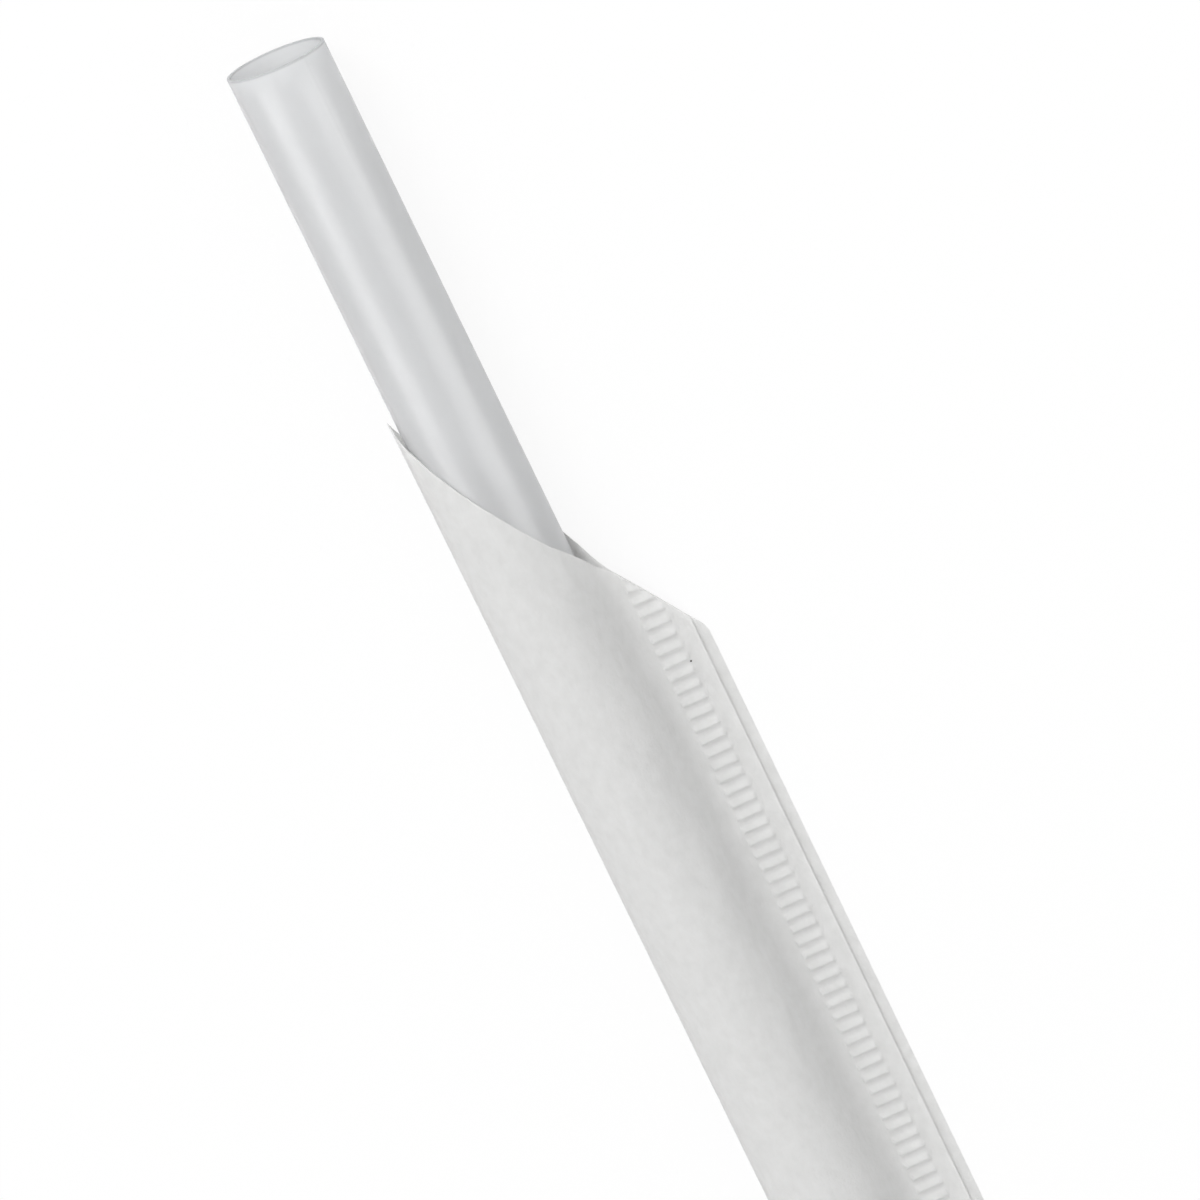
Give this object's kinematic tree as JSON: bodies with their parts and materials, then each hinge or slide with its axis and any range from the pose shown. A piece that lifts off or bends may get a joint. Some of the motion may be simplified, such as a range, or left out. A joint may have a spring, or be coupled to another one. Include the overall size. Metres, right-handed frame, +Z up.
{
  "type": "wrapped drinking straw",
  "caption": "Straight translucent plastic drinking straw in a crimped white paper wrapper that is cut open at a slant near the drinking end.",
  "frame": {"origin": "on the table under the straw's axis, halfway along the wrapped straw", "axes": "+X along the straw to its open end, the crimped seam on the -Y side, +Z up"},
  "size_m": [0.2106, 0.0136, 0.0064],
  "materials": {
    "straw_plastic": "translucent, frosted, satin",
    "wrapper_paper": "uncoated, matt"
  },
  "bodies": {
    "root": {"straw": "straw_plastic", "wrapper": "wrapper_paper"}
  },
  "joints": []
}
